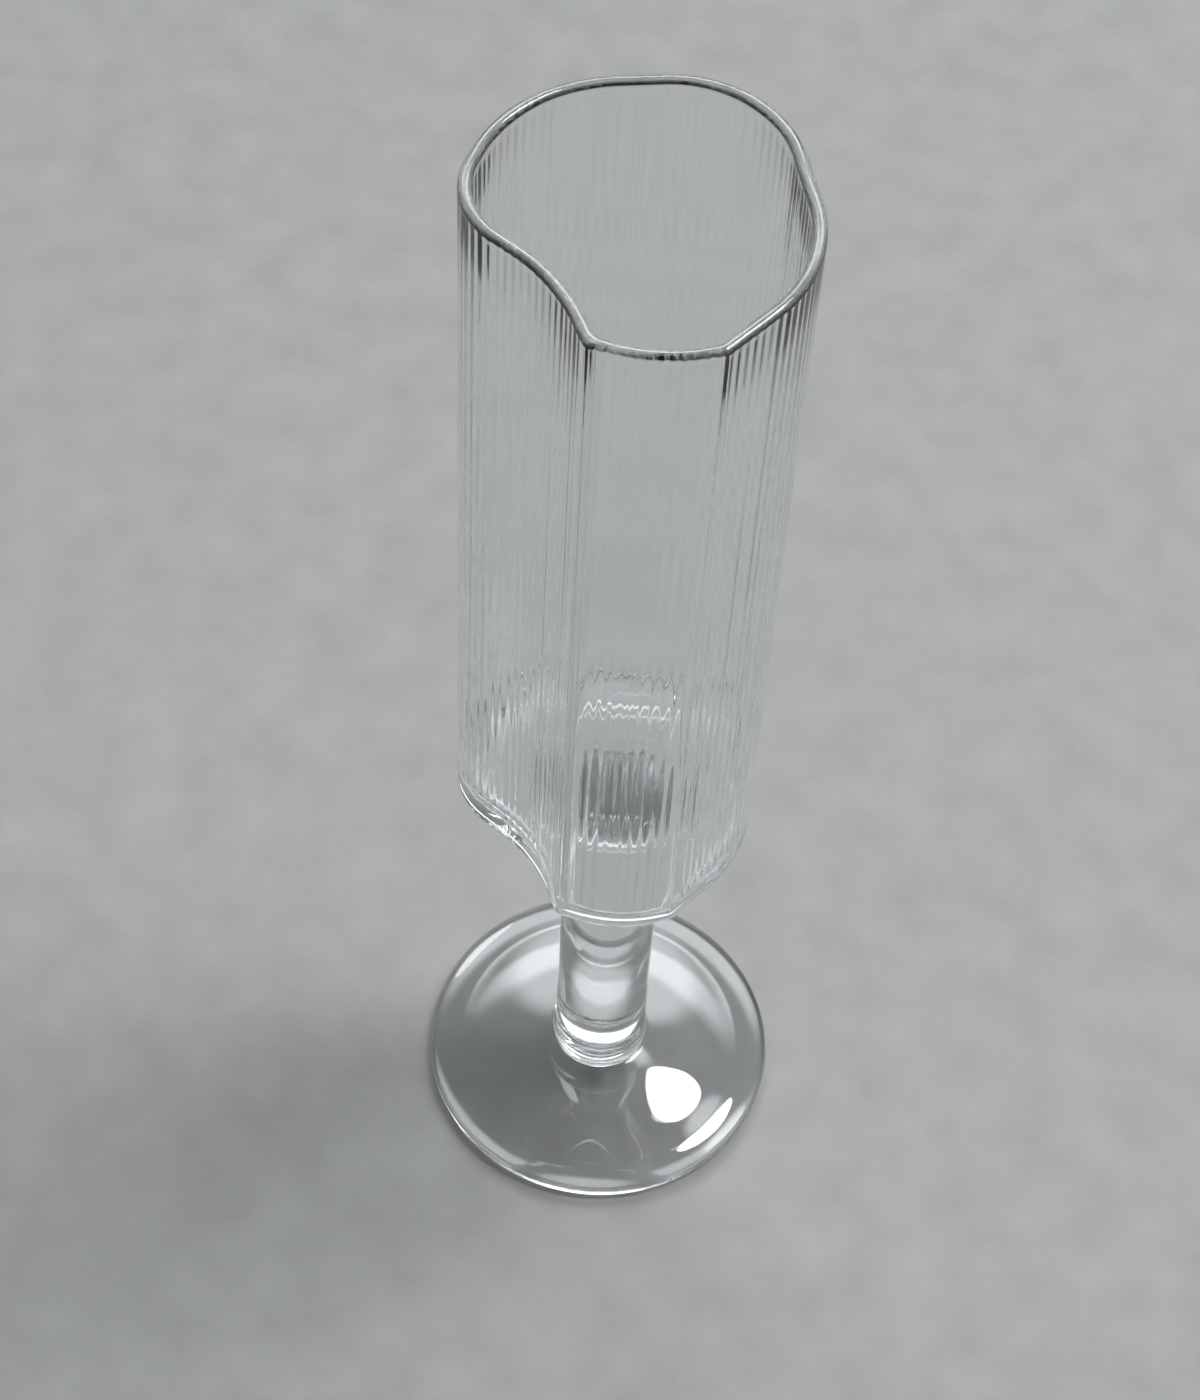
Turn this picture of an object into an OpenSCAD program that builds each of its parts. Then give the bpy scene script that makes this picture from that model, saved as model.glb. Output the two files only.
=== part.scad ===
// Champagne flute: a lobed, internally reeded bowl on a plain rod stem and a flared foot.
// The origin is the centre of the foot on the table, +Z is up, and the units are millimetres.
// Six glass pieces are flame-sealed to one another: tube wall, floor plate, two seals, rod and foot.

/* [Bowl] */
// Height of the bowl, from the underside of its floor to the lip
bowl_h = 145.9; // [120:0.1:170]
// Thickness of the bowl wall between the reeds
wall_t = 1.9; // [1.4:0.1:2.2]
// Thickness of the floor plate
floor_t = 3.2; // [2.5:0.1:5]
// Outer radius of the two sharp edges of the front panel
edge_r = 1.2; // [0.8:0.1:2]
// Inner radius behind those two edges
edge_inner_r = 4; // [2.5:0.5:4]

/* [Reeds] */
// Number of fine vertical reeds round the inside of the wall
reed_count = 96; // [60:1:110]
// Height of each reed above the wall
reed_h = 0.1; // [0.05:0.05:0.3]
// Points that draw one reed
reed_steps = 6; // [4:2:8]

/* [Stem] */
// Diameter of the solid glass rod
stem_d = 17; // [14:0.5:19]
// Length of the rod, from the foot to the bowl
stem_l = 82.5; // [60:0.1:100]
// Leg of the concave seal under the bowl
bowl_seal_leg = 3; // [2:0.5:4]
// Height of the beaded seal on the foot
foot_seal_h = 5.6; // [4:0.1:8]
// How far the bead swells past the rod
foot_seal_bulge = 0.5; // [0.3:0.1:0.8]
// Radius of the two fine grooves round the bead
groove_r = 0.15; // [0.1:0.05:0.2]
// Height of the lower and the upper groove, as parts of the seal's height
groove_low = 0.5; // [0.4:0.02:0.56]
groove_high = 0.72; // [0.7:0.02:0.8]

/* [Foot] */
// Diameter of the foot
foot_d = 65; // [60:1:75]
// Thickness of the foot at its rounded edge
foot_edge_t = 2.8; // [2.4:0.1:3]
// Radius of the shoulder inside that edge
shoulder_r = 18; // [14:1:20]
// Slope of the rounded edge where the shoulder runs into it
edge_slope = 17; // [15:1:20]
// Slope of the shoulder where the flare runs into it
flare_slope = 5; // [4:0.1:6]
// Height of the flat seat that carries the rod
foot_seat_z = 7.7; // [7.5:0.1:8.5]
// Height of the hollow under the foot
hollow_h = 3.6; // [2:0.1:4]
// Diameter of the hollow where it meets the table
hollow_d = 54; // [48:1:56]

/* [Hidden] */

glass_tint = [0.86, 0.9, 0.92, 0.45];
round_fn = 96;
arc_step = 4;
// Least thickness of the seal under the bowl, at its two edges
seal_edge_t = 0.1;
// Height of the bead's widest place, as a part of the seal's height
bead_mid_part = 0.35;
// Width of the flat seat that is left bare round the bead
seat_margin = 0.2;
// Where the foot's curves cross: how much steeper the first one is, and how far it runs on inside the glass
rim_dip = 4;
rim_tuck = 0.12;
flare_dip = 1.5;
flare_tuck = 0.4;
shoulder_tuck = 2;
// Height of the foot's solid core, as a part of the edge's thickness
core_part = 0.7;

stem_r = stem_d / 2;
stem_top_z = foot_seat_z + stem_l;
lip_z = stem_top_z + bowl_h;
foot_r = foot_d / 2;
foot_seat_r = stem_r + foot_seal_bulge + seat_margin;
reed_pitch_steps = reed_count * reed_steps;

// Corners of the bowl's plan, clockwise from the back left: x, y and the radius each one is rounded to.
// The seventh corner points inwards, so its arc is the hollow flank on the left of the front panel.
bowl_corners = [
    [-21.5, 22, 23.5],
    [15.5, 27, 18.5],
    [25, -9, 23],
    [10, -25.5, edge_r],
    [1, -28.5, 23.5],
    [-9, -25.5, edge_r],
    [-13.5, -15, 27.5],
    [-30, -2.5, 13.5]
];
sharp_edges = [3, 5];
hollow_flank = 6;

function xy(p) = [p.x, p.y];
function unit(v) = v / norm(v);
function at(list, i) = list[(i + len(list)) % len(list)];
function is_in(value, list) = len(search(value, list)) > 0;

// Signed angle in the range -180 to 180
function wrap_angle(a) = a - 360 * round(a / 360);

// The arc that rounds corner b between the sides that run to a and c
function corner_arc(a, b, c, r) =
    let (
        u = unit(a - b),
        v = unit(c - b),
        half = acos(u * v) / 2,
        centre = b + unit(u + v) * r / sin(half),
        first = b + u * r / tan(half) - centre,
        last = b + v * r / tan(half) - centre,
        start = atan2(first.y, first.x),
        turn = wrap_angle(atan2(last.y, last.x) - start),
        n = ceil(abs(turn) / arc_step)
    )
    [for (k = [0:n]) centre + r * [cos(start + turn * k / n), sin(start + turn * k / n)]];

// A closed outline whose corners are rounded
function rounded(corners) = [
    for (i = [0:len(corners) - 1])
        each corner_arc(xy(at(corners, i - 1)), xy(corners[i]), xy(at(corners, i + 1)), corners[i].z)
];

// Normal of a side that points into the bowl, for an outline that runs clockwise
function inward(a, b) = let (d = unit(b - a)) [d.y, -d.x];

// A corner moved in so that both of its sides move in by t
function inset_corner(a, b, c, t) =
    let (m = inward(a, b), n = inward(b, c)) b + (m + n) * t / (1 + m * n);

// Radius of the inner arc at corner i, for a wall of thickness t
function inner_radius(i, r, t) = is_in(i, sharp_edges) ? edge_inner_r : i == hollow_flank ? r + t : r - t;

function inset_corners(corners, t) = [
    for (i = [0:len(corners) - 1])
        let (p = inset_corner(xy(at(corners, i - 1)), xy(corners[i]), xy(at(corners, i + 1)), t))
        [p.x, p.y, inner_radius(i, corners[i].z, t)]
];

// Distance run along a closed outline up to each of its points, the first one again at the end
function run_lengths(pts) = [
    for (i = 0, s = 0; i <= len(pts); s = s + norm(at(pts, i + 1) - at(pts, i)), i = i + 1) s
];

// An outline with a wave of evenly spaced reeds that stand inwards from it
function reeded(pts) =
    let (
        runs = run_lengths(pts),
        total = runs[len(pts)],
        xs = [for (i = [0:len(pts)]) [runs[i], at(pts, i).x]],
        ys = [for (i = [0:len(pts)]) [runs[i], at(pts, i).y]],
        step = total / reed_pitch_steps
    )
    [
        for (k = [0:reed_pitch_steps - 1])
            let (
                s = k * step,
                before = max(s - step, 0),
                after = min(s + step, total),
                side = inward([lookup(before, xs), lookup(before, ys)], [lookup(after, xs), lookup(after, ys)]),
                rise = reed_h * (1 - cos(360 * k / reed_steps)) / 2
            )
            [lookup(s, xs), lookup(s, ys)] + side * rise
    ];

// Radius of the arc that rises by h over the half width w
function cap_radius(w, h) = (w * w + h * h) / (2 * h);

// Unit normal of a surface that falls outwards at a slope
function slope_normal(slope) = [sin(slope), cos(slope)];

// A concave flare that falls from the seat, a rounded shoulder and rim, and a hollow underneath.
// Each curve arrives a little steeper than the next one leaves, so it dips under it and ends inside the glass.
module foot() {
    rim_r = foot_edge_t / 2;
    rim = [foot_r - rim_r, rim_r];
    rim_cross = rim + rim_r * slope_normal(edge_slope);
    shoulder = rim_cross - shoulder_r * slope_normal(edge_slope + rim_dip);
    flare_cross = shoulder + shoulder_r * slope_normal(flare_slope);
    arrival = flare_slope + flare_dip;
    chord = flare_cross - [foot_seat_r, foot_seat_z];
    flare_r = norm(chord) / (2 * sin(atan2(-chord.y, chord.x) - arrival));
    shoulder_x = flare_cross.x - shoulder_tuck;
    under_r = cap_radius(hollow_d / 2, hollow_h);
    color(glass_tint) rotate_extrude($fn = round_fn) difference() {
        union() {
            square([rim.x, foot_edge_t * core_part]);
            difference() {
                square([flare_cross.x + flare_tuck, foot_seat_z]);
                translate(flare_cross + flare_r * slope_normal(arrival)) circle(r = flare_r, $fn = round_fn * 4);
            }
            intersection() {
                translate([shoulder_x, rim_r]) square([rim_cross.x + rim_tuck - shoulder_x, foot_seat_z]);
                translate(shoulder) circle(r = shoulder_r, $fn = round_fn * 4);
            }
            translate(rim) circle(d = foot_edge_t, $fn = round_fn);
        }
        translate([0, hollow_h - under_r]) circle(r = under_r, $fn = round_fn * 4);
    }
}

// A bead of glass round the foot of the rod, with two fine grooves. It rests on the seat with a narrow ring.
module foot_seal() {
    bead_mid = foot_seal_h * bead_mid_part;
    bead_r = cap_radius(foot_seal_h - bead_mid, foot_seal_bulge);
    bead = [stem_r + foot_seal_bulge - bead_r, bead_mid];
    color(glass_tint) translate([0, 0, foot_seat_z]) rotate_extrude($fn = round_fn) difference() {
        intersection() {
            translate([stem_r, 0]) square([2 * foot_seal_bulge, foot_seal_h]);
            translate(bead) circle(r = bead_r, $fn = round_fn * 2);
        }
        for (part = [groove_low, groove_high])
            let (z = foot_seal_h * part)
            translate([bead.x + sqrt(bead_r ^ 2 - (z - bead_mid) ^ 2), z]) circle(r = groove_r, $fn = round_fn);
    }
}

// The solid rod
module stem() {
    color(glass_tint) translate([0, 0, foot_seat_z]) cylinder(r = stem_r, h = stem_l, $fn = round_fn);
}

// The concave ring of glass that joins the top of the rod to the floor
module bowl_seal() {
    leg = bowl_seal_leg;
    color(glass_tint) translate([0, 0, stem_top_z]) rotate_extrude($fn = round_fn) difference() {
        translate([stem_r, -leg]) square(leg);
        translate([stem_r + leg + seal_edge_t, -leg - seal_edge_t]) circle(r = leg, $fn = round_fn);
    }
}

// The flat plate that closes the lower end of the tube
module bowl_floor() {
    color(glass_tint) translate([0, 0, stem_top_z]) linear_extrude(floor_t) polygon(rounded(bowl_corners));
}

// The lobed tube, smooth outside and reeded inside
module bowl_wall() {
    color(glass_tint) translate([0, 0, stem_top_z + floor_t]) linear_extrude(bowl_h - floor_t) difference() {
        polygon(rounded(bowl_corners));
        polygon(reeded(rounded(inset_corners(bowl_corners, wall_t))));
    }
}

foot();
foot_seal();
stem();
bowl_seal();
bowl_floor();
bowl_wall();
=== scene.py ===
"""Looks of a champagne flute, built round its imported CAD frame.

The flute is six pieces of clear glass that were flame-sealed to one another: a flared foot, a beaded
seal, a solid rod, a concave seal, a floor plate and a lobed tube that is smooth outside and reeded inside.
Each piece is modelled here in detail, in metres, in the CAD frame. Neighbouring pieces run into each other
by a hair, so that light passes from one to the next as it does through a real seal.
"""

import logging
import math
from dataclasses import dataclass, field
from enum import Enum
from typing import Callable, Iterable, NamedTuple, Sequence

import bmesh
import bpy
from mathutils import Matrix, Vector, noise

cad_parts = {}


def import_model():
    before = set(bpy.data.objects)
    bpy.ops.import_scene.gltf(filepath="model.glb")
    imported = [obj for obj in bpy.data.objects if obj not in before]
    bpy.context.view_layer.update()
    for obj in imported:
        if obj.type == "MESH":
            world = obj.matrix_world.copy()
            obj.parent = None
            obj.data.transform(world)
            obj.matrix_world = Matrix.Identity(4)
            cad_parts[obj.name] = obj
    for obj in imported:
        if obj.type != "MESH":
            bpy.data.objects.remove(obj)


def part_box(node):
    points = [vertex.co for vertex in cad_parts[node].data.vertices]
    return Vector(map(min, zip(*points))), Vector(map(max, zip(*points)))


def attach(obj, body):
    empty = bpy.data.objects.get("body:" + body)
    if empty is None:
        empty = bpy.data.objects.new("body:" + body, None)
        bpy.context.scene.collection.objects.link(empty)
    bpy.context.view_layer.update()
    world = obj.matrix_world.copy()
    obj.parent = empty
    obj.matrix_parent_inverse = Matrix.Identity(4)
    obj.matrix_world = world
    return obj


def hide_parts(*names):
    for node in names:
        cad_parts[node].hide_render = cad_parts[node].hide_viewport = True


LOG = logging.getLogger("flute")
MM = 0.001
BODY = "root"
# How far each piece runs into the one it is sealed to
SEAL_OVERLAP = 0.04 * MM
LATHE_STEPS = 192
# Points closer together than this are one point
MERGE_DISTANCE = 1e-7
# Heights that keep the patterns of the reeds' size and of the fine lines apart
SHARE_LAYER = 7.0
STRIAE_LAYER = 3.0
# Edges that bend more than this stay crisp
SHARP_ANGLE = math.radians(35.0)


class Slot(Enum):
    """Material slots of the record, one for each glass."""

    PLAIN = "plain_glass"
    REEDED = "reeded_glass"


class Profile(NamedTuple):
    """A point of a turned profile: distance from the axis and height, in metres."""

    radius: float
    height: float


def smoothstep(value: float, low: float, high: float) -> float:
    """Rises smoothly from 0 at low to 1 at high.

    Args:
        value: Where to read the step.
        low: Where the step starts.
        high: Where the step ends.

    Returns:
        A number from 0 to 1.
    """
    part = min(max((value - low) / (high - low), 0.0), 1.0)
    return part * part * (3.0 - 2.0 * part)


def arc_profile(centre: Profile, radius: float, start: float, end: float, steps: int) -> list[Profile]:
    """Points along a circular arc of a turned profile.

    Args:
        centre: Centre of the arc.
        radius: Radius of the arc in metres.
        start: First angle in degrees, from the outward direction, anticlockwise.
        end: Last angle in degrees.
        steps: Number of chords.

    Returns:
        The points, both ends included.
    """
    angles = (math.radians(start + (end - start) * k / steps) for k in range(steps + 1))
    return [
        Profile(centre.radius + radius * math.cos(a), centre.height + radius * math.sin(a)) for a in angles
    ]


def finish_mesh(mesh_data: bmesh.types.BMesh, name: str) -> bpy.types.Object:
    """Turns a bmesh into a smooth object at the origin.

    Args:
        mesh_data: The shape, in metres in the CAD frame. It is freed.
        name: Name of the piece.

    Returns:
        The new object, linked to the scene.
    """
    bmesh.ops.remove_doubles(mesh_data, verts=mesh_data.verts[:], dist=MERGE_DISTANCE)
    bmesh.ops.recalc_face_normals(mesh_data, faces=mesh_data.faces[:])
    for face in mesh_data.faces:
        face.smooth = True
    mesh = bpy.data.meshes.new(name)
    mesh_data.to_mesh(mesh)
    mesh_data.free()
    mesh.set_sharp_from_angle(angle=SHARP_ANGLE)
    piece = bpy.data.objects.new(name, mesh)
    bpy.context.scene.collection.objects.link(piece)
    return piece


def turn(name: str, profile: Sequence[Profile], closed: bool) -> bpy.types.Object:
    """Spins a profile once round the vertical axis.

    Args:
        name: Name of the piece.
        profile: Points of the profile in order.
        closed: True for a ring, whose profile returns to its first point.

    Returns:
        The turned piece.
    """
    mesh_data = bmesh.new()
    verts = [mesh_data.verts.new((p.radius, 0.0, p.height)) for p in profile]
    pairs = list(zip(verts, verts[1:] + verts[:1] if closed else verts[1:]))
    edges = [mesh_data.edges.new(pair) for pair in pairs]
    bmesh.ops.spin(
        mesh_data,
        geom=verts + edges,
        cent=(0.0, 0.0, 0.0),
        axis=(0.0, 0.0, 1.0),
        angle=math.tau,
        steps=LATHE_STEPS,
        use_merge=True,
    )
    return finish_mesh(mesh_data, name)


@dataclass(frozen=True)
class Corner:
    """A corner of the bowl's plan, in millimetres, with the radius it is rounded to.

    Attributes:
        x: Place along X.
        y: Place along Y.
        radius: Radius of the outer arc.
        inner_radius: Radius of the arc on the inside of the wall, or None where the two arcs are parallel.
        hollow: True where the corner points into the bowl.
    """

    x: float
    y: float
    radius: float
    inner_radius: float | None = None
    hollow: bool = False


class Station(NamedTuple):
    """One step round the bowl's plan, in metres.

    Attributes:
        outer: Point on the outer face.
        inner: Point on the inner face, reeds left out.
        normal: Unit normal that points out of the bowl.
        run: Distance run along the inner face so far.
    """

    outer: Vector
    inner: Vector
    normal: Vector
    run: float


class Arc(NamedTuple):
    """The rounding of one corner: centre, radius, first angle and signed turn in radians."""

    centre: Vector
    radius: float
    start: float
    turn: float

    def point(self, part: float) -> Vector:
        """The point a part of the way, from 0 to 1, along the arc."""
        angle = self.start + self.turn * part
        return self.centre + self.radius * Vector((math.cos(angle), math.sin(angle)))


@dataclass(frozen=True)
class BowlPlan:
    """The lobed plan that the tube and the floor plate share, clockwise from the back left.

    Attributes:
        corners: Corners of the plan.
        wall: Thickness of the wall in metres, reeds left out.
        spacing: Longest step between stations in metres.
        least_steps: Fewest steps round a corner.
    """

    corners: tuple[Corner, ...] = (
        Corner(-21.5, 22.0, 23.5),
        Corner(15.5, 27.0, 18.5),
        Corner(25.0, -9.0, 23.0),
        Corner(10.0, -25.5, 1.2, inner_radius=4.0),
        Corner(1.0, -28.5, 23.5),
        Corner(-9.0, -25.5, 1.2, inner_radius=4.0),
        Corner(-13.5, -15.0, 27.5, hollow=True),
        Corner(-30.0, -2.5, 13.5),
    )
    wall: float = 1.9 * MM
    spacing: float = 0.12 * MM
    least_steps: int = 4

    def _points(self, inset: float) -> list[Vector]:
        """Corners of the plan with every side moved in.

        Args:
            inset: How far the sides move in, in metres.

        Returns:
            The moved corners, in metres.
        """
        raw = [Vector((c.x, c.y)) * MM for c in self.corners]
        moved = []
        for before, here, after in zip(raw[-1:] + raw[:-1], raw, raw[1:] + raw[:1]):
            first, second = (here - before).normalized(), (after - here).normalized()
            m, n = Vector((first.y, -first.x)), Vector((second.y, -second.x))
            moved.append(here + (m + n) * inset / (1.0 + m.dot(n)))
        return moved

    def _arcs(self, inset: float) -> list[Arc]:
        """The arcs that round the plan's corners.

        Args:
            inset: 0 for the outer face, or the wall thickness for the inner face.

        Returns:
            One arc per corner.
        """
        points = self._points(inset)
        arcs = []
        for i, corner in enumerate(self.corners):
            here = points[i]
            back = (points[i - 1] - here).normalized()
            ahead = (points[(i + 1) % len(points)] - here).normalized()
            radius = corner.radius * MM + (inset if corner.hollow else -inset)
            if inset > 0.0 and corner.inner_radius is not None:
                radius = corner.inner_radius * MM
            half = back.angle(ahead) / 2.0
            centre = here + (back + ahead).normalized() * radius / math.sin(half)
            first = here + back * radius / math.tan(half) - centre
            last = here + ahead * radius / math.tan(half) - centre
            start = math.atan2(first.y, first.x)
            swing = math.remainder(math.atan2(last.y, last.x) - start, math.tau)
            arcs.append(Arc(centre, radius, start, swing))
        return arcs

    def stations(self) -> list[Station]:
        """Walks once round the plan, pairing each outer point with the inner point behind it.

        Returns:
            The stations in order, none repeated.
        """
        outer_arcs, inner_arcs = self._arcs(0.0), self._arcs(self.wall)
        pairs: list[tuple[Vector, Vector, Vector]] = []
        for i, (outer, inner) in enumerate(zip(outer_arcs, inner_arcs)):
            sign = -1.0 if self.corners[i].hollow else 1.0
            longest = max(outer.radius, inner.radius) * abs(outer.turn)
            steps = max(self.least_steps, math.ceil(longest / self.spacing))
            for k in range(steps + 1):
                point = outer.point(k / steps)
                normal = (point - outer.centre).normalized() * sign
                pairs.append((point, inner.point(k / steps), normal))
            after = (i + 1) % len(outer_arcs)
            outer_end, inner_end = outer.point(1.0), inner.point(1.0)
            outer_next, inner_next = outer_arcs[after].point(0.0), inner_arcs[after].point(0.0)
            gap = max((outer_next - outer_end).length, (inner_next - inner_end).length)
            steps = max(1, math.ceil(gap / self.spacing))
            for k in range(1, steps):
                outer_point = outer_end.lerp(outer_next, k / steps)
                pairs.append((outer_point, inner_end.lerp(inner_next, k / steps), normal))
        found, run = [], 0.0
        for k, (outer_point, inner_point, normal) in enumerate(pairs):
            run += (inner_point - pairs[k - 1][1]).length if k else 0.0
            found.append(Station(outer_point, inner_point, normal, run))
        return found


@dataclass(frozen=True)
class ClearGlass:
    """Clear, fire-polished glass.

    Attributes:
        name: Name of the material.
        tint: Colour that the glass gives to light, linear.
        ior: Index of refraction.
        polish: Lowest and highest roughness.
        ripple: Depth of the hand-made ripple in metres.
        ripple_size: Width of one ripple in metres.
        stretch: How much longer a ripple is upwards than sideways.
        seed: Radius of the tiny seeds in the surface, in metres.
        seed_gap: Usual gap between seeds in metres.
        seed_rise: Height of a seed as a part of its radius.
        ripple_detail: How much finer ripple lies over the main one.
        smear: How many smears of polish lie across one ripple.
        smear_detail: How much finer smears lie over the main ones.
        smear_range: Values of the smear pattern at which the polish is best and worst.
    """

    name: str
    tint: tuple[float, float, float] = (0.985, 0.993, 0.992)
    ior: float = 1.5
    polish: tuple[float, float] = (0.0, 0.012)
    ripple: float = 0.012 * MM
    ripple_size: float = 7.0 * MM
    stretch: float = 1.0
    seed: float = 0.12 * MM
    seed_gap: float = 4.0 * MM
    seed_rise: float = 0.5
    ripple_detail: float = 1.5
    smear: float = 3.0
    smear_detail: float = 4.0
    smear_range: tuple[float, float] = (0.45, 0.75)

    def build(self) -> bpy.types.Material:
        """Makes the material.

        Returns:
            The node material.
        """
        material = bpy.data.materials.new(self.name)
        material.use_nodes = True
        nodes, links = material.node_tree.nodes, material.node_tree.links
        shader = nodes["Principled BSDF"]
        shader.inputs["Base Color"].default_value = (*self.tint, 1.0)
        shader.inputs["IOR"].default_value = self.ior
        shader.inputs["Transmission Weight"].default_value = 1.0

        place = nodes.new("ShaderNodeTexCoord")
        mapping = nodes.new("ShaderNodeMapping")
        mapping.inputs["Scale"].default_value = (1.0, 1.0, 1.0 / self.stretch)
        links.new(place.outputs["Object"], mapping.inputs["Vector"])

        ripple = nodes.new("ShaderNodeTexNoise")
        ripple.inputs["Scale"].default_value = 1.0 / self.ripple_size
        ripple.inputs["Detail"].default_value = self.ripple_detail
        links.new(mapping.outputs["Vector"], ripple.inputs["Vector"])
        bump = nodes.new("ShaderNodeBump")
        bump.inputs["Strength"].default_value = 1.0
        bump.inputs["Distance"].default_value = self.ripple
        links.new(ripple.outputs["Fac"], bump.inputs["Height"])

        seeds = nodes.new("ShaderNodeTexVoronoi")
        seeds.inputs["Scale"].default_value = 1.0 / self.seed_gap
        links.new(place.outputs["Object"], seeds.inputs["Vector"])
        dome = nodes.new("ShaderNodeMapRange")
        dome.interpolation_type = "SMOOTHSTEP"
        dome.inputs["From Max"].default_value = self.seed / self.seed_gap
        dome.inputs["To Min"].default_value = 1.0
        dome.inputs["To Max"].default_value = 0.0
        links.new(seeds.outputs["Distance"], dome.inputs["Value"])
        pimples = nodes.new("ShaderNodeBump")
        pimples.inputs["Distance"].default_value = self.seed * self.seed_rise
        links.new(dome.outputs["Result"], pimples.inputs["Height"])
        links.new(bump.outputs["Normal"], pimples.inputs["Normal"])
        links.new(pimples.outputs["Normal"], shader.inputs["Normal"])

        smears = nodes.new("ShaderNodeTexNoise")
        smears.inputs["Scale"].default_value = self.smear / self.ripple_size
        smears.inputs["Detail"].default_value = self.smear_detail
        links.new(place.outputs["Object"], smears.inputs["Vector"])
        polish = nodes.new("ShaderNodeMapRange")
        polish.inputs["From Min"].default_value = self.smear_range[0]
        polish.inputs["From Max"].default_value = self.smear_range[1]
        polish.inputs["To Min"].default_value = self.polish[0]
        polish.inputs["To Max"].default_value = self.polish[1]
        links.new(smears.outputs["Fac"], polish.inputs["Value"])
        links.new(polish.outputs["Result"], shader.inputs["Roughness"])
        return material


def dress(piece: bpy.types.Object, material: bpy.types.Material, slot: Slot, *nodes: str) -> None:
    """Gives a finished piece its glass and its place in the frame, and reports it.

    Args:
        piece: The finished piece.
        material: Its glass.
        slot: The record's slot for that glass. It is not used.
        nodes: CAD nodes that the piece stands for.
    """
    piece.data.materials.append(material)
    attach(piece, BODY)
    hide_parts(*nodes)
    LOG.info("%s: %d faces, for %s", piece.name, len(piece.data.polygons), ", ".join(nodes))


@dataclass
class Foot:
    """The pressed foot: a concave flare, a rounded shoulder and edge, a flat seat and a hollow underneath.

    Attributes:
        radius: Outer radius.
        edge: Thickness at the rounded edge.
        edge_slope: Slope in degrees where the shoulder runs into the edge.
        shoulder: Radius of the shoulder inside the edge.
        flare_slope: Slope in degrees where the flare runs into the shoulder.
        seat_radius: Radius of the flat seat under the rod.
        hollow_radius: Radius of the hollow where it meets the table.
        hollow_rise: Height of the hollow on the axis.
        heel: Radius of the turn from the hollow to the ring that rests on the table.
        flare_steps: Chords of the flare.
        shoulder_steps: Chords of the shoulder.
        edge_steps: Chords of the edge.
        heel_steps: Chords of the heel.
        hollow_steps: Chords of the hollow.
    """

    radius: float = 32.48 * MM
    edge: float = 2.8 * MM
    edge_slope: float = 21.0
    shoulder: float = 18.0 * MM
    flare_slope: float = 5.7
    seat_radius: float = 9.2 * MM
    hollow_radius: float = 27.0 * MM
    hollow_rise: float = 3.6 * MM
    heel: float = 6.0 * MM
    flare_steps: int = 30
    shoulder_steps: int = 12
    edge_steps: int = 20
    heel_steps: int = 8
    hollow_steps: int = 30

    def profile(self, seat: float) -> list[Profile]:
        """Section from the axis on top, over the edge and back to the axis underneath.

        Args:
            seat: Height of the flat seat.

        Returns:
            The points of the section.
        """
        half = self.edge / 2.0
        edge = Profile(self.radius - half, half)
        edge_slope, flare_slope = math.radians(self.edge_slope), math.radians(self.flare_slope)
        # The shoulder touches the edge where the two have the same slope, and the flare touches the shoulder
        back = half - self.shoulder
        shoulder_height = edge.height + back * math.cos(edge_slope)
        shoulder = Profile(edge.radius + back * math.sin(edge_slope), shoulder_height)
        join_radius = shoulder.radius + self.shoulder * math.sin(flare_slope)
        join = Profile(join_radius, shoulder.height + self.shoulder * math.cos(flare_slope))
        run, fall = join.radius - self.seat_radius, seat - join.height
        chord_slope = math.degrees(math.atan2(fall, run))
        flare = math.hypot(run, fall) / (2.0 * math.sin(math.radians(chord_slope - self.flare_slope)))
        centre_height = join.height + flare * math.cos(flare_slope)
        flare_centre = Profile(join.radius + flare * math.sin(flare_slope), centre_height)
        seat_slope = 2.0 * chord_slope - self.flare_slope
        under = (self.hollow_radius**2 + self.hollow_rise**2) / (2.0 * self.hollow_rise)
        under_centre = Profile(0.0, self.hollow_rise - under)
        # The heel is an arc that touches both the table ring and the hollow
        heel_radius = math.sqrt((under + self.heel) ** 2 - (under_centre.height - self.heel) ** 2)
        heel = Profile(heel_radius, self.heel)
        heel_slope = math.degrees(math.asin(heel.radius / (under + self.heel)))
        from_seat, from_flare = -90.0 - seat_slope, -90.0 - self.flare_slope
        to_flare, to_edge = 90.0 - self.flare_slope, 90.0 - self.edge_slope
        points = [Profile(0.0, seat), Profile(self.seat_radius / 2.0, seat)]
        points += arc_profile(flare_centre, flare, from_seat, from_flare, self.flare_steps)
        points += arc_profile(shoulder, self.shoulder, to_flare, to_edge, self.shoulder_steps)[1:]
        points += arc_profile(edge, half, to_edge, -90.0, self.edge_steps)[1:]
        points += arc_profile(heel, self.heel, -90.0, -90.0 - heel_slope, self.heel_steps)
        points += arc_profile(under_centre, under, 90.0 - heel_slope, 90.0, self.hollow_steps)[1:-1]
        return points + [Profile(0.0, self.hollow_rise)]

    def build(self, glass: bpy.types.Material) -> None:
        """Turns and dresses the foot.

        Args:
            glass: Glass of the foot.
        """
        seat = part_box("foot")[1][2]
        dress(turn("foot_glass", self.profile(seat), closed=False), glass, Slot.PLAIN, "foot")


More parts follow.
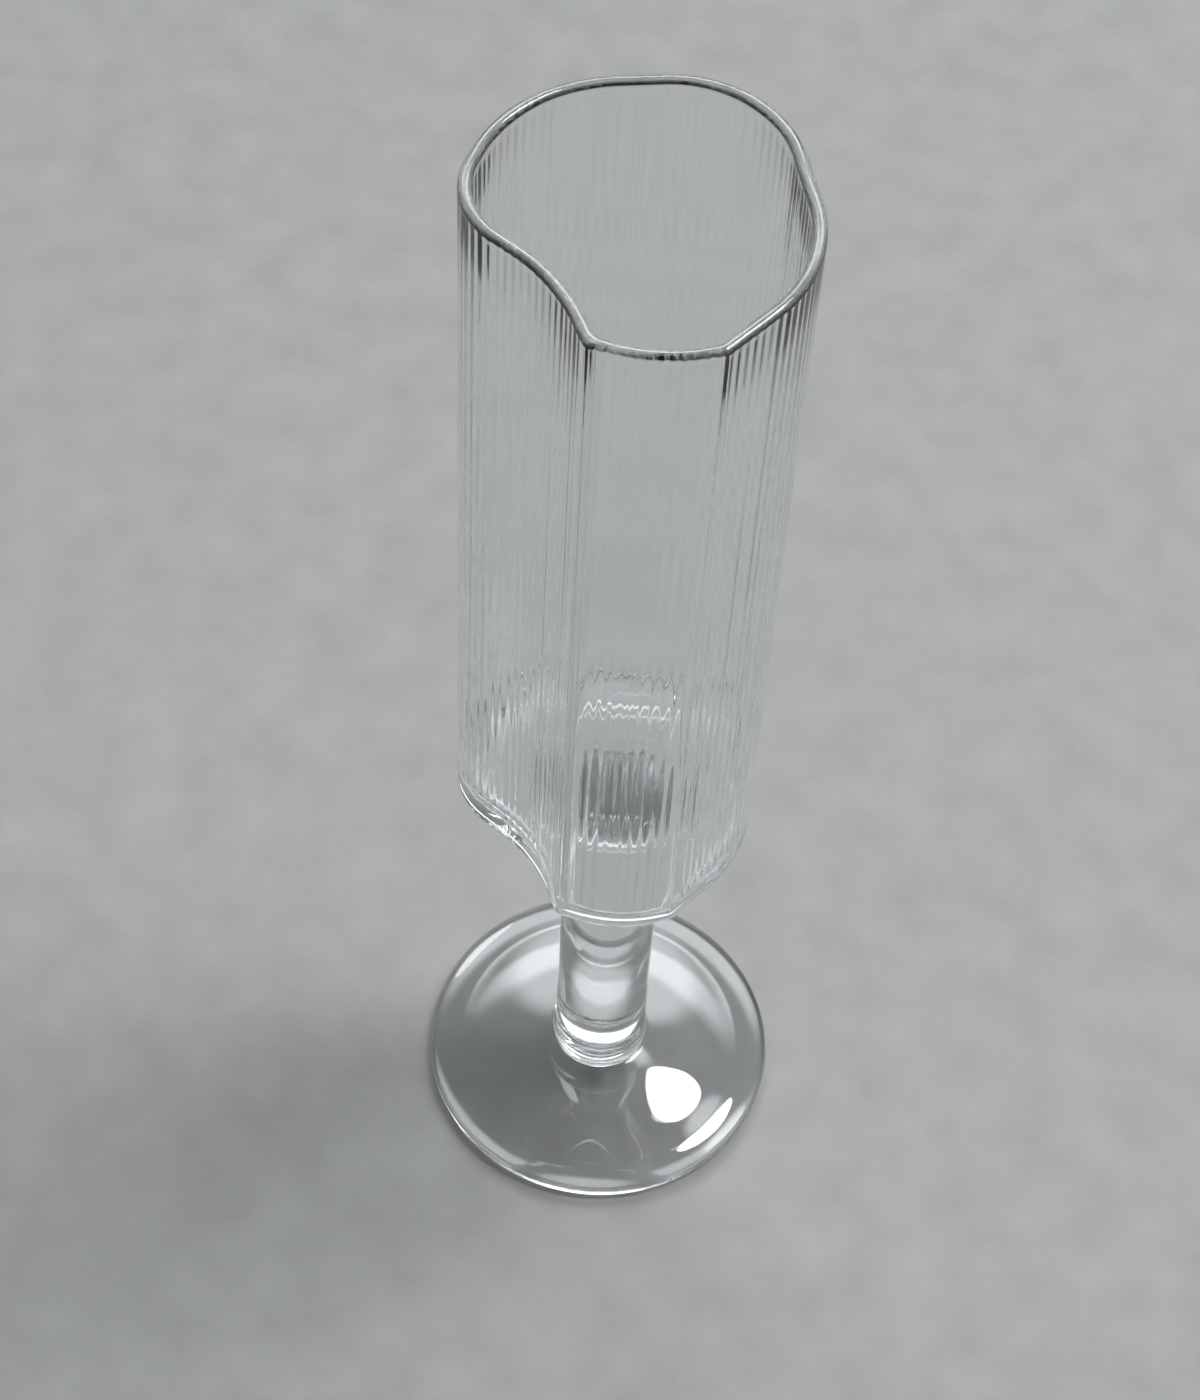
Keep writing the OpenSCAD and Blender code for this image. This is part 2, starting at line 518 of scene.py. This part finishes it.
@dataclass
class Rod:
    """The solid rod of the stem, and the two rings of glass that seal its ends.

    Attributes:
        radius: Radius of the rod.
        bead_bulge: How far the lower seal swells past the rod.
        bead_middle: Height of its widest place as a part of the seal's height.
        groove: Radius of the two fine grooves round it.
        groove_parts: Height of each groove as a part of the seal's height.
        groove_width: Half width of each groove as a part of the seal's height.
        rod_steps: Steps along the rod.
        bead_steps: Steps up the beaded seal.
        cove_steps: Chords of the concave seal.
    """

    radius: float = 8.5 * MM
    bead_bulge: float = 0.48 * MM
    bead_middle: float = 0.35
    groove: float = 0.15 * MM
    groove_parts: tuple[float, float] = (0.5, 0.72)
    groove_width: float = 0.028
    rod_steps: int = 16
    bead_steps: int = 72
    cove_steps: int = 24

    def _build_rod(self, glass: bpy.types.Material) -> None:
        """Turns the rod, which runs a hair into the foot and into the floor plate.

        Args:
            glass: Glass of the rod.
        """
        low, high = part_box("stem")[0][2] - SEAL_OVERLAP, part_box("stem")[1][2] + SEAL_OVERLAP
        heights = (low + (high - low) * k / self.rod_steps for k in range(1, self.rod_steps))
        profile = [Profile(0.0, low), Profile(self.radius, low)]
        profile += [Profile(self.radius, height) for height in heights]
        profile += [Profile(self.radius, high), Profile(0.0, high)]
        dress(turn("stem_rod", profile, closed=False), glass, Slot.PLAIN, "stem")

    def _bead_radius(self, part: float) -> float:
        """Radius of the lower seal, a bead with two grooves.

        Args:
            part: Place in the seal, from 0 at its lower end to 1 at its upper end.

        Returns:
            The radius there.
        """
        away = (part - self.bead_middle) / (1.0 - self.bead_middle)
        bead = self.radius + self.bead_bulge * (1.0 - away * away)
        for groove_part in self.groove_parts:
            reach = (part - groove_part) / self.groove_width
            bead -= self.groove * math.exp(-reach * reach)
        return bead

    def _build_foot_seal(self, glass: bpy.types.Material) -> None:
        """Turns the beaded ring where the rod stands on the foot.

        Args:
            glass: Glass of the ring.
        """
        low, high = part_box("foot_seal")[0][2] - SEAL_OVERLAP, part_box("foot_seal")[1][2]
        inner, steps = self.radius - SEAL_OVERLAP, self.bead_steps
        least = inner + 2.0 * SEAL_OVERLAP
        outer_face = [
            Profile(max(self._bead_radius(k / steps), least), low + (high - low) * k / steps)
            for k in range(steps + 1)
        ]
        profile = outer_face + [Profile(inner, high), Profile(inner, low)]
        dress(turn("foot_seal_bead", profile, closed=True), glass, Slot.PLAIN, "foot_seal")

    def _build_bowl_seal(self, glass: bpy.types.Material) -> None:
        """Turns the concave ring under the floor plate.

        Args:
            glass: Glass of the ring.
        """
        low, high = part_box("bowl_seal")[0][2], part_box("bowl_seal")[1][2]
        leg = high - low
        inner = self.radius - SEAL_OVERLAP
        centre = Profile(self.radius + leg, low)
        sweep = arc_profile(centre, leg - 2.0 * SEAL_OVERLAP, 180.0, 90.0, self.cove_steps)
        profile = [Profile(inner, low), *sweep]
        profile += [Profile(self.radius + leg, high + SEAL_OVERLAP), Profile(inner, high + SEAL_OVERLAP)]
        dress(turn("bowl_seal_ring", profile, closed=True), glass, Slot.PLAIN, "bowl_seal")

    def build(self, glass: bpy.types.Material) -> None:
        """Builds the rod and both of its seals.

        Args:
            glass: Glass of all three pieces.
        """
        self._build_foot_seal(glass)
        self._build_rod(glass)
        self._build_bowl_seal(glass)


@dataclass
class Bowl:
    """The lobed bowl: a reeded tube with a fire-polished lip, on a flat floor plate.

    Attributes:
        plan: The plan of the bowl.
        reeds: Number of reeds round the inside.
        reed_height: Greatest height of a reed above the wall.
        reed_share: Usual height of a reed and how much it varies, as parts of the greatest height.
        reed_share_width: Width over which that height varies.
        reed_drift: How far a reed wanders sideways.
        reed_drift_width: Width over which reeds wander together.
        reed_change: Height over which a reed's height and place change.
        striae: Depth of the fine uneven lines between the reeds.
        striae_width: Width of one such line.
        plain_lip: Height below the lip in which the reeds melt away.
        plain_part: Part of that height, next to the lip, that has no reeds at all.
        lip_bead: How much the lip is thickened inwards by the flame.
        lip_sag: How unevenly the flame has let the lip sink.
        lip_sag_width: Width over which that sinking varies.
        coves: Radius between the wall and the floor near four places of the plan, as x, y and radius in mm.
        cove_focus: How quickly one named radius gives way to the next.
        cove_gap: Height from the top of the largest cove to the lowest ring of the reeded inside.
        seam: Depth of the hairline where the tube meets the floor plate.
        seam_blunt: How far in its blunted corners lie, as a part of that depth.
        seam_reach: How far up and down it reaches, as a multiple of that depth.
        lower_edge: Radius of the rounded lower edge.
        middle: How far in the floor plate's flat middle starts.
        wave: Depth of the hand-made unevenness of the inside.
        wave_width: Width over which that unevenness varies.
        wave_stretch: How much longer it is upwards than sideways.
        outer_steps: Steps up the outside of the tube.
        lip_steps: Steps over the lip.
        plain_steps: Steps down the plain part under the lip.
        inner_steps: Steps down the reeded inside.
        cove_steps: Steps round the cove.
        edge_steps: Steps round the lower edge.
    """

    plan: BowlPlan = field(default_factory=BowlPlan)
    reeds: int = 96
    reed_height: float = 0.09 * MM
    reed_share: tuple[float, float] = (0.55, 0.45)
    reed_share_width: float = 2.6 * MM
    reed_drift: float = 0.3 * MM
    reed_drift_width: float = 5.0 * MM
    reed_change: float = 110.0 * MM
    striae: float = 0.02 * MM
    striae_width: float = 0.6 * MM
    plain_lip: float = 3.0 * MM
    plain_part: float = 0.4
    lip_bead: float = 0.15 * MM
    lip_sag: float = 0.2 * MM
    lip_sag_width: float = 8.0 * MM
    coves: tuple[tuple[float, float, float], ...] = (
        (1.0, -25.0, 1.3),
        (-13.0, -12.0, 5.0),
        (20.0, -8.0, 4.2),
        (0.0, 24.0, 6.2),
    )
    cove_focus: float = 1.5
    cove_gap: float = 1.0 * MM
    seam: float = 0.12 * MM
    seam_blunt: float = 0.3
    seam_reach: float = 2.5
    lower_edge: float = 2.2 * MM
    middle: float = 4.5 * MM
    wave: float = 0.05 * MM
    wave_width: float = 9.0 * MM
    wave_stretch: float = 4.0
    outer_steps: int = 6
    lip_steps: int = 12
    plain_steps: int = 6
    inner_steps: int = 16
    cove_steps: int = 8
    edge_steps: int = 12

    def __post_init__(self) -> None:
        """Walks round the plan once, for both pieces of the bowl, and works out the sizes they share."""
        self.stations = self.plan.stations()
        self.floor_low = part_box("bowl_floor")[0][2]
        self.floor_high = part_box("bowl_floor")[1][2]
        self.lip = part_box("bowl_wall")[1][2]
        last = self.stations[-1]
        self.girth = last.run + (self.stations[0].inner - last.inner).length
        self.cove_radii = [self._cove(s) for s in self.stations]
        self.lip_radius = (self.plan.wall + self.lip_bead) / 2.0

    def _cove(self, station: Station) -> float:
        """Radius of the cove, blended from the named places by nearness.

        Args:
            station: Where to work it out.

        Returns:
            The radius in metres.
        """
        shares = []
        for x, y, radius in self.coves:
            gap = (station.inner - Vector((x, y)) * MM).length / MM
            shares.append((1.0 / (1.0 + gap * gap) ** self.cove_focus, radius * MM))
        return sum(share * radius for share, radius in shares) / sum(share for share, _ in shares)

    def _place(self, k: int, inset: float, height: float) -> Vector:
        """A point behind station k.

        Args:
            k: Number of the station.
            inset: Distance in from the outer face.
            height: Height of the point.

        Returns:
            The point.
        """
        station = self.stations[k]
        if inset <= self.plan.wall:
            flat = station.outer.lerp(station.inner, inset / self.plan.wall)
        else:
            flat = station.inner - station.normal * (inset - self.plan.wall)
        return Vector((flat.x, flat.y, height))

    def _reed(self, k: int, height: float) -> float:
        """How far the inside of the wall stands in: reed, fine lines and unevenness together.

        Args:
            k: Number of the station.
            height: Height of the point.

        Returns:
            The distance in metres.
        """
        station = self.stations[k]
        along = station.run / self.girth * math.tau
        # The same loop closes on itself, so the pattern has no seam
        loop = Vector((math.cos(along), math.sin(along), 0.0)) * self.girth / math.tau
        tall = height / self.reed_change
        drift = self.reed_drift * noise.noise(Vector((*(loop.xy / self.reed_drift_width), tall)))
        phase = math.tau * self.reeds * (station.run + drift) / self.girth
        usual, varied = self.reed_share
        share_spot = Vector((*(loop.xy / self.reed_share_width), tall + SHARE_LAYER))
        share = usual + varied * noise.noise(share_spot)
        fine = self.striae * noise.noise(Vector((*(loop.xy / self.striae_width), tall + STRIAE_LAYER)))
        plain_height = self.lip - self.plain_lip * self.plain_part
        melt = 1.0 - smoothstep(height, self.lip - self.plain_lip, plain_height)
        spot = Vector((station.inner.x, station.inner.y, height / self.wave_stretch)) / self.wave_width
        reed = self.reed_height * share * (1.0 - math.cos(phase)) / 2.0
        return melt * (reed + fine) + self.wave * noise.noise(spot)

    def _wrap(self, name: str, rings: Iterable[Callable[[int], Vector]], closed: bool) -> bpy.types.Object:
        """Draws a skin through rings of points that follow the plan.

        Args:
            name: Name of the piece.
            rings: For each ring in order, the place of its point at a station.
            closed: True if the last ring is joined to the first, False if both are filled.

        Returns:
            The finished piece.
        """
        mesh_data = bmesh.new()
        number = mesh_data.verts.layers.int.new("station")
        made = bmesh.ops.create_circle(mesh_data, cap_ends=False, segments=len(self.stations), radius=1.0)
        ring_verts, ring_edges = made["verts"], mesh_data.edges[:]
        first_edges = ring_edges
        for k, vert in enumerate(ring_verts):
            vert[number] = k
        for step, place in enumerate(rings):
            if step:
                grown = bmesh.ops.extrude_edge_only(mesh_data, edges=ring_edges)["geom"]
                ring_verts = [item for item in grown if isinstance(item, bmesh.types.BMVert)]
                new_verts = set(ring_verts)
                edges = (item for item in grown if isinstance(item, bmesh.types.BMEdge))
                ring_edges = [edge for edge in edges if new_verts.issuperset(edge.verts)]
            for vert in ring_verts:
                vert.co = place(vert[number])
        if closed:
            bmesh.ops.bridge_loops(mesh_data, edges=first_edges + ring_edges)
        else:
            bmesh.ops.edgeloop_fill(mesh_data, edges=first_edges)
            bmesh.ops.edgeloop_fill(mesh_data, edges=ring_edges)
        return finish_mesh(mesh_data, name)

    def _ring(self, inset: float, height: float) -> Callable[[int], Vector]:
        """A plain ring at one inset and one height."""
        return lambda k: self._place(k, inset, height)

    def _lip_ring(self, angle: float) -> Callable[[int], Vector]:
        """A ring of the fire-polished lip.

        Args:
            angle: Angle over the lip, from 0 outside to pi inside.

        Returns:
            A function that gives the ring's point at a station.
        """
        inset = self.lip_radius * (1.0 - math.cos(angle))

        def place(k: int) -> Vector:
            """Works out the ring's point, with the flame's slight sag.

            Args:
                k: Number of the station.

            Returns:
                The point.
            """
            station = self.stations[k]
            spot = Vector((station.outer.x, station.outer.y, 0.0)) / self.lip_sag_width
            sag = self.lip_sag * (1.0 + noise.noise(spot)) / 2.0 * math.sin(angle)
            height = self.lip - self.lip_radius + self.lip_radius * math.sin(angle) - sag
            return self._place(k, inset, height)

        return place

    def _inner_ring(self, height: float) -> Callable[[int], Vector]:
        """A ring of the reeded inside of the wall, swelling to the bead under the lip."""
        bead = self.lip_bead * smoothstep(height, self.lip - self.plain_lip, self.lip - self.lip_bead)
        return lambda k: self._place(k, self.plan.wall + bead + self._reed(k, height), height)

    def _cove_ring(self, angle: float) -> Callable[[int], Vector]:
        """A ring of the cove between the wall and the floor.

        Args:
            angle: Angle round the cove, from 0 on the wall to a right angle on the floor.

        Returns:
            A function that gives the ring's point at a station.
        """
        fade = 1.0 - smoothstep(angle, 0.0, math.pi / 2.0)

        def place(k: int) -> Vector:
            """Works out the ring's point.

            Args:
                k: Number of the station.

            Returns:
                The point.
            """
            radius = self.cove_radii[k]
            height = self.floor_high + radius * (1.0 - math.sin(angle))
            inset = self.plan.wall + radius * (1.0 - math.cos(angle)) + fade * self._reed(k, height)
            return self._place(k, inset, height)

        return place

    def _wall_rings(self) -> list[Callable[[int], Vector]]:
        """Rings of the tube: up the outside, over the lip, down the inside and across the sealed end.

        Returns:
            For each ring in order, the place of its point at a station.
        """
        low = self.floor_high - SEAL_OVERLAP
        outer_low, outer_high = low + self.seam * self.seam_reach, self.lip - self.lip_radius
        inner_high = outer_high - self.plain_lip
        inner_low = self.floor_high + max(self.cove_radii) + self.cove_gap
        outer_step = (outer_high - outer_low) / self.outer_steps
        inner_step = (inner_low - inner_high) / self.inner_steps
        rings = [self._ring(self.seam, low), self._ring(self.seam * self.seam_blunt, low + self.seam)]
        rings += [self._ring(0.0, outer_low + outer_step * k) for k in range(self.outer_steps + 1)]
        rings += [self._lip_ring(math.pi * k / self.lip_steps) for k in range(1, self.lip_steps)]
        heights = [outer_high - self.plain_lip * k / self.plain_steps for k in range(self.plain_steps)]
        heights += [inner_high + inner_step * k for k in range(self.inner_steps + 1)]
        rings += [self._inner_ring(height) for height in heights]
        rings += [self._cove_ring(math.pi / 2.0 * k / self.cove_steps) for k in range(self.cove_steps + 1)]
        rings.append(lambda k: self._place(k, self.plan.wall + self.cove_radii[k], low))
        return rings

    def _floor_rings(self) -> list[Callable[[int], Vector]]:
        """Rings of the floor plate: out across the top, down the edge and in underneath.

        Returns:
            For each ring in order, the place of its point at a station.
        """
        rings = [self._ring(self.middle, self.floor_high), self._ring(self.seam, self.floor_high)]
        rings += [self._ring(self.seam * self.seam_blunt, self.floor_high - self.seam)]
        rings += [self._ring(0.0, self.floor_high - self.seam * self.seam_reach)]
        for k in range(self.edge_steps + 1):
            angle = math.pi / 2.0 * k / self.edge_steps
            inset = self.lower_edge * (1.0 - math.cos(angle))
            rings.append(self._ring(inset, self.floor_low + self.lower_edge * (1.0 - math.sin(angle))))
        rings.append(self._ring(self.middle, self.floor_low))
        return rings

    def build(self, plain: bpy.types.Material, reeded: bpy.types.Material) -> None:
        """Builds the floor plate and the tube.

        Args:
            plain: Glass of the floor plate.
            reeded: Glass of the tube.
        """
        plate = self._wrap("bowl_floor_plate", self._floor_rings(), closed=False)
        dress(plate, plain, Slot.PLAIN, "bowl_floor")
        tube = self._wrap("bowl_reeded_tube", self._wall_rings(), closed=True)
        dress(tube, reeded, Slot.REEDED, "bowl_wall")


@dataclass(frozen=True)
class SoftBox:
    """A soft studio light that faces a target.

    Attributes:
        name: Name of the light.
        place: Where it stands, in metres.
        size: Width and height in metres.
        power: Power in watts.
        target: The point that it faces.
        round: True for a round softbox.
    """

    name: str
    place: tuple[float, float, float]
    size: tuple[float, float]
    power: float
    target: tuple[float, float, float] = (0.0, 0.0, 0.1)
    round: bool = False

    def build(self) -> None:
        """Makes the light and links it to the scene."""
        data = bpy.data.lights.new(self.name, "AREA")
        data.shape = "ELLIPSE" if self.round else "RECTANGLE"
        data.size, data.size_y = self.size
        data.energy = self.power
        light = bpy.data.objects.new(self.name, data)
        light.location = self.place
        aim = Vector(self.target) - Vector(self.place)
        light.rotation_euler = aim.to_track_quat("-Z", "Y").to_euler()
        bpy.context.scene.collection.objects.link(light)


@dataclass(frozen=True)
class Glow:
    """A large far light with a soft edge, which is part of the room's sky.

    Attributes:
        way: Unit direction of its middle.
        strength: Brightness of its middle.
        reach: How far it reaches from its middle along X, Y and Z, as parts of a unit direction.
        full: Part of that reach up to which it is full.
    """

    way: tuple[float, float, float]
    strength: float
    reach: tuple[float, float, float]
    full: float = 0.55

    def add_to(self, tree: bpy.types.NodeTree, direction: bpy.types.NodeSocket) -> bpy.types.NodeSocket:
        """Adds the nodes that work out the glow.

        Args:
            tree: The world's nodes.
            direction: Gives the direction that is looked at.

        Returns:
            The brightness of the glow in that direction.
        """
        value = direction
        for operation, operand in (("SUBTRACT", self.way), ("DIVIDE", self.reach), ("LENGTH", None)):
            node = tree.nodes.new("ShaderNodeVectorMath")
            node.operation = operation
            tree.links.new(value, node.inputs[0])
            if operand is not None:
                node.inputs[1].default_value = operand
            value = node.outputs["Vector" if operand is not None else "Value"]
        fade = tree.nodes.new("ShaderNodeMapRange")
        fade.interpolation_type = "SMOOTHSTEP"
        fade.inputs["From Min"].default_value = self.full
        fade.inputs["From Max"].default_value = 1.0
        fade.inputs["To Min"].default_value = self.strength
        fade.inputs["To Max"].default_value = 0.0
        tree.links.new(value, fade.inputs["Value"])
        return fade.outputs["Result"]


@dataclass
class Studio:
    """A plain pale floor, soft light and the camera.

    Attributes:
        camera_place: Where the camera stands, in metres.
        pitch: How far it looks down, in degrees.
        roll: How far its right side is tilted up, in degrees.
        lens: Focal length in millimetres on a 36 mm sensor.
        nearest: Distance in metres from which the camera sees things.
        floor_size: Side of the floor in metres.
        floor_gap: How far the floor lies under the foot, so that the two faces don't coincide.
        floor_shades: Darkest and lightest grey of the floor, linear.
        floor_roughness: How matt the floor is, from 0 to 1.
        floor_grain: Number of grains of the floor per metre.
        floor_grain_detail: How much finer grain lies over the main one.
        floor_grain_range: Values of the grain pattern that have the darkest and the lightest grey.
        lights: The soft lights.
        bounces: How often light may turn inside the glass, which guides it down the walls.
        sky: Brightness of the room at the horizon and overhead.
        sky_height: Height on the unit sphere at which the room is as bright as overhead.
        sky_colour: Colour of the room's light, linear.
        glows: The far lights, a wide one low behind the flute and a small one high on its right.
    """

    camera_place: tuple[float, float, float] = (-0.0039, -0.3002, 0.5533)
    pitch: float = 55.41
    roll: float = 3.65
    lens: float = 82.8
    nearest: float = 0.01
    floor_size: float = 12.0
    floor_gap: float = 0.05 * MM
    floor_shades: tuple[float, float] = (0.35, 0.40)
    floor_roughness: float = 0.85
    floor_grain: float = 90.0
    floor_grain_detail: float = 6.0
    floor_grain_range: tuple[float, float] = (0.3, 0.7)
    lights: tuple[SoftBox, ...] = (
        SoftBox("key_softbox", (0.40, 0.25, 1.10), (0.30, 0.30), 4.5, round=True),
    )
    bounces: int = 40
    sky: tuple[float, float] = (0.12, 0.2)
    sky_height: float = 0.9
    sky_colour: tuple[float, float, float] = (0.95, 0.98, 1.0)
    glows: tuple[Glow, ...] = (
        Glow((0.05, 0.80, 0.60), 7.0, (0.75, 0.60, 0.19)),
        Glow((0.57, 0.08, 0.82), 9.0, (0.19, 0.19, 0.19)),
    )

    def _build_camera(self) -> None:
        """Makes the camera and sets it as the scene's own."""
        pitch, roll = math.radians(self.pitch), math.radians(self.roll)
        ahead = Vector((0.0, math.cos(pitch), -math.sin(pitch)))
        level_up = Vector((0.0, math.sin(pitch), math.cos(pitch)))
        level_right = Vector((1.0, 0.0, 0.0))
        right = math.cos(roll) * level_right + math.sin(roll) * level_up
        up = math.cos(roll) * level_up - math.sin(roll) * level_right
        data = bpy.data.cameras.new("camera")
        data.lens = self.lens
        data.clip_start = self.nearest
        camera = bpy.data.objects.new("camera", data)
        turn_matrix = Matrix((right, up, -ahead)).transposed().to_4x4()
        camera.matrix_world = Matrix.Translation(self.camera_place) @ turn_matrix
        bpy.context.scene.collection.objects.link(camera)
        bpy.context.scene.camera = camera

    def _floor_material(self) -> bpy.types.Material:
        """Makes the floor's matt pale grey, which has a faint grain.

        Returns:
            The node material.
        """
        material = bpy.data.materials.new("pale_floor")
        material.use_nodes = True
        nodes, links = material.node_tree.nodes, material.node_tree.links
        shader = nodes["Principled BSDF"]
        shader.inputs["Roughness"].default_value = self.floor_roughness
        place = nodes.new("ShaderNodeTexCoord")
        grain = nodes.new("ShaderNodeTexNoise")
        grain.inputs["Scale"].default_value = self.floor_grain
        grain.inputs["Detail"].default_value = self.floor_grain_detail
        links.new(place.outputs["Object"], grain.inputs["Vector"])
        shades = nodes.new("ShaderNodeValToRGB")
        stops = zip(shades.color_ramp.elements, self.floor_grain_range, self.floor_shades)
        for stop, position, shade in stops:
            stop.position = position
            stop.color = (shade, shade, shade, 1.0)
        links.new(grain.outputs["Fac"], shades.inputs["Fac"])
        links.new(shades.outputs["Color"], shader.inputs["Base Color"])
        return material

    def _build_floor(self) -> None:
        """Makes the floor."""
        mesh_data = bmesh.new()
        bmesh.ops.create_grid(mesh_data, x_segments=1, y_segments=1, size=self.floor_size / 2.0)
        bmesh.ops.translate(mesh_data, verts=mesh_data.verts[:], vec=(0.0, 0.0, -self.floor_gap))
        mesh = bpy.data.meshes.new("floor")
        mesh_data.to_mesh(mesh)
        mesh_data.free()
        mesh.materials.append(self._floor_material())
        floor = bpy.data.objects.new("floor", mesh)
        bpy.context.scene.collection.objects.link(floor)

    def _build_world(self) -> None:
        """Gives the room a soft sky, darker at the horizon, with its far lights."""
        world = bpy.data.worlds.new("studio")
        world.use_nodes = True
        nodes, links = world.node_tree.nodes, world.node_tree.links
        direction = nodes.new("ShaderNodeTexCoord")
        split = nodes.new("ShaderNodeSeparateXYZ")
        links.new(direction.outputs["Generated"], split.inputs["Vector"])
        rise = nodes.new("ShaderNodeMapRange")
        rise.interpolation_type = "SMOOTHSTEP"
        rise.inputs["From Min"].default_value = 0.0
        rise.inputs["From Max"].default_value = self.sky_height
        rise.inputs["To Min"].default_value = self.sky[0]
        rise.inputs["To Max"].default_value = self.sky[1]
        links.new(split.outputs["Z"], rise.inputs["Value"])
        total = rise.outputs["Result"]
        for glow in self.glows:
            added = nodes.new("ShaderNodeMath")
            added.operation = "ADD"
            links.new(total, added.inputs[0])
            links.new(glow.add_to(world.node_tree, direction.outputs["Generated"]), added.inputs[1])
            total = added.outputs["Value"]
        background = nodes["Background"]
        background.inputs["Color"].default_value = (*self.sky_colour, 1.0)
        links.new(total, background.inputs["Strength"])
        bpy.context.scene.world = world
        # Glass needs its whites and darks whole, so the tones are shown as they are
        bpy.context.scene.view_settings.view_transform = "Standard"

    def _let_light_through(self) -> None:
        """Lets light turn often enough inside solid glass to come out again."""
        paths = bpy.context.scene.cycles
        paths.max_bounces = self.bounces
        paths.glossy_bounces = self.bounces
        paths.transmission_bounces = self.bounces

    def build(self) -> None:
        """Builds the whole studio."""
        self._build_camera()
        self._build_floor()
        self._build_world()
        self._let_light_through()
        for light in self.lights:
            light.build()
            LOG.info("light %s", light.name)


def main() -> None:
    """Builds the flute round its frame, then the studio."""
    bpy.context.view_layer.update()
    Studio().build()
    plain = ClearGlass("plain_glass").build()
    reeded = ClearGlass("reeded_glass", ripple_size=5.0 * MM, stretch=5.0).build()
    Foot().build(plain)
    Rod().build(plain)
    Bowl().build(plain, reeded)


if __name__ == "__main__":
    logging.basicConfig(level=logging.INFO, format="%(name)s: %(message)s")
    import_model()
    main()
